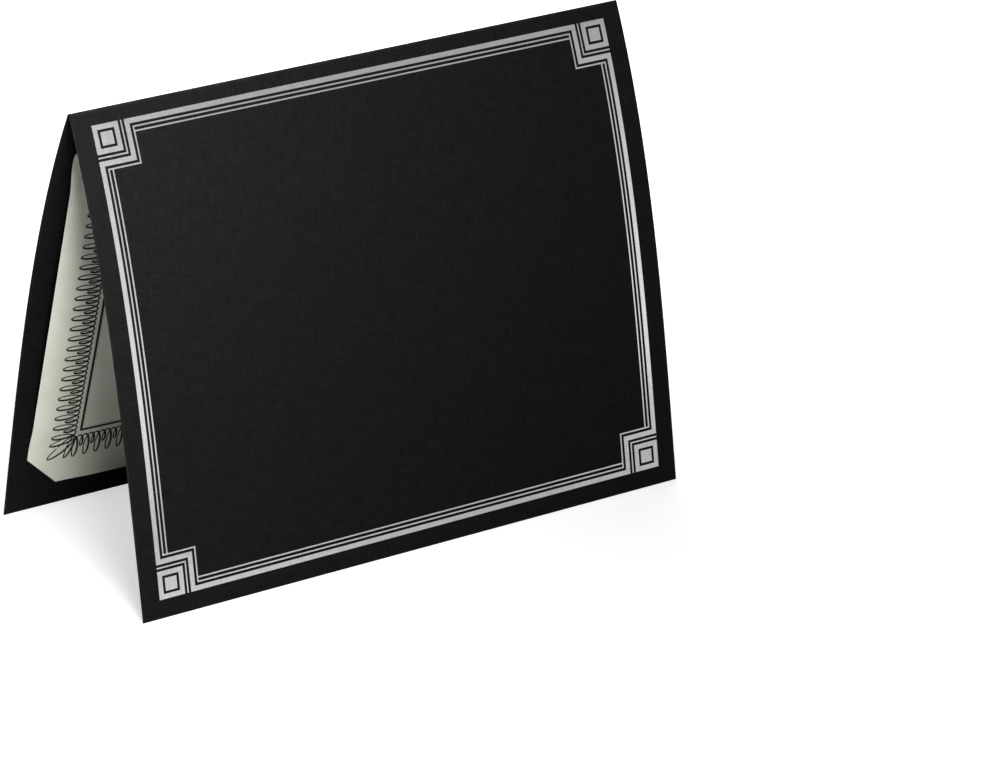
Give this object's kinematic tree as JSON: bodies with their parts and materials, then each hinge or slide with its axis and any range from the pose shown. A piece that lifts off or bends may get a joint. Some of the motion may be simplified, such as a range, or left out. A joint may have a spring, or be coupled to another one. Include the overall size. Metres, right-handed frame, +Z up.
{
  "type": "certificate holder",
  "caption": "Folded linen card certificate holder standing like a tent, with a foil-stamped front, corner slits in the back leaf and a bordered certificate sheet tucked into them.",
  "frame": {"origin": "on the table, midway between the two cut edges it stands on and midway along the fold", "axes": "+X along the fold to the right as seen from the front, +Y from the front leaf to the back leaf, +Z up"},
  "size_m": [0.3048, 0.1338, 0.2318],
  "materials": {
    "cover_card": "matt black cover card with an embossed linen weave",
    "certificate_paper": "matt cream parchment bond with a printed border",
    "stamped_foil": "satin silver hot-stamped foil pressed into the linen weave"
  },
  "bodies": {
    "back": {"back_cover": "cover_card", "scored_fold": "cover_card", "certificate": "certificate_paper"},
    "front": {"front_cover": "cover_card", "foil_band": "stamped_foil", "foil_inner_lines": "stamped_foil", "foil_ring_fold_left": "stamped_foil", "foil_square_fold_left": "stamped_foil", "foil_angle_fold_left": "stamped_foil", "foil_ring_fold_right": "stamped_foil", "foil_square_fold_right": "stamped_foil", "foil_angle_fold_right": "stamped_foil", "foil_ring_foot_left": "stamped_foil", "foil_square_foot_left": "stamped_foil", "foil_angle_foot_left": "stamped_foil", "foil_ring_foot_right": "stamped_foil", "foil_square_foot_right": "stamped_foil", "foil_angle_foot_right": "stamped_foil"}
  },
  "joints": [
    {"name": "cover_fold", "type": "hinge", "parent": "back", "child": "front", "pos_m": [0, 0, 0.23103], "axis": [-1, 0, 0], "range_deg": [-32, 147.8]}
  ]
}
